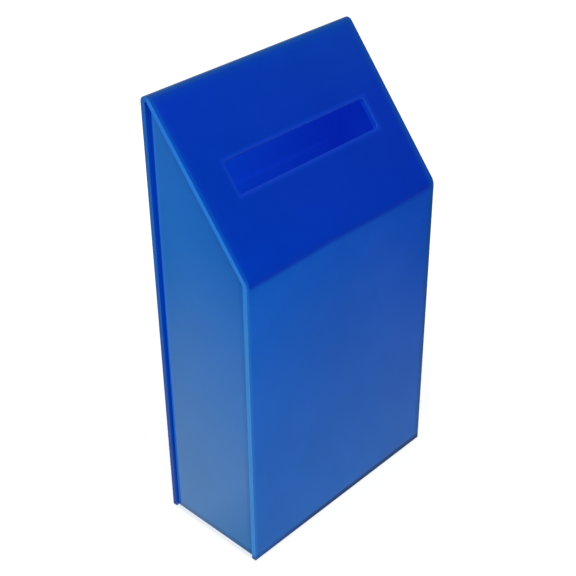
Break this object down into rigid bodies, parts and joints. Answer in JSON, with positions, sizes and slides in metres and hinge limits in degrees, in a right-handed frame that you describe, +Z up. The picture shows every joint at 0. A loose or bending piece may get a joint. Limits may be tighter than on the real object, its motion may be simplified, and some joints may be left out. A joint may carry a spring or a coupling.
{
  "type": "book drop box",
  "caption": "Tall countertop drop box of bent acrylic sheet, with a slot in its sloping top and a lockable rear access door.",
  "frame": {"origin": "middle of the floor panel's underside, on the surface that the box stands on", "axes": "+Z up, -Y towards the front with the slope and its slot, +X to the right as seen from the front"},
  "size_m": [0.25, 0.1468, 0.4462],
  "materials": {
    "blue_acrylic": "polished cast acrylic sheet, saturated blue",
    "hinge_steel": "satin stamped steel",
    "fastener_steel": "bright zinc plate",
    "lock_chrome": "polished chrome plate",
    "key_brass": "worn satin brass"
  },
  "bodies": {
    "box": {"bent_shell": "blue_acrylic", "left_side_panel": "blue_acrylic", "right_side_panel": "blue_acrylic", "floor_panel": "blue_acrylic", "top_door_stop": "blue_acrylic", "bottom_door_stop": "blue_acrylic", "keeper_block": "blue_acrylic", "lower_hinge_frame_leaf": "hinge_steel", "lower_hinge_pin": "hinge_steel", "lower_frame_screw_1": "fastener_steel", "lower_frame_nut_1": "fastener_steel", "lower_frame_screw_2": "fastener_steel", "lower_frame_nut_2": "fastener_steel", "upper_hinge_frame_leaf": "hinge_steel", "upper_hinge_pin": "hinge_steel", "upper_frame_screw_1": "fastener_steel", "upper_frame_nut_1": "fastener_steel", "upper_frame_screw_2": "fastener_steel", "upper_frame_nut_2": "fastener_steel"},
    "door": {"access_door": "blue_acrylic", "lower_hinge_door_leaf": "hinge_steel", "lower_door_screw_1": "fastener_steel", "lower_door_nut_1": "fastener_steel", "lower_door_screw_2": "fastener_steel", "lower_door_nut_2": "fastener_steel", "upper_hinge_door_leaf": "hinge_steel", "upper_door_screw_1": "fastener_steel", "upper_door_nut_1": "fastener_steel", "upper_door_screw_2": "fastener_steel", "upper_door_nut_2": "fastener_steel", "lock_housing": "lock_chrome", "lock_washer": "fastener_steel", "lock_nut": "fastener_steel"},
    "lock_core": {"lock_plug": "lock_chrome", "lock_cam": "fastener_steel", "cam_washer": "fastener_steel", "cam_screw": "fastener_steel"},
    "key": {"key": "key_brass"}
  },
  "joints": [
    {"name": "door_hinge", "type": "hinge", "parent": "box", "child": "door", "pos_m": [0.0875, 0.0618, 0.17], "axis": [0, 0, -1], "range_deg": [0, 175]},
    {"name": "lock_turn", "type": "hinge", "parent": "door", "child": "lock_core", "pos_m": [-0.062, 0.0585, 0.17], "axis": [0, 1, 0], "range_deg": [0, 90]},
    {"name": "key_slide", "type": "slide", "parent": "lock_core", "child": "key", "axis": [0, 1, 0], "range_m": [0, 0.014]}
  ]
}
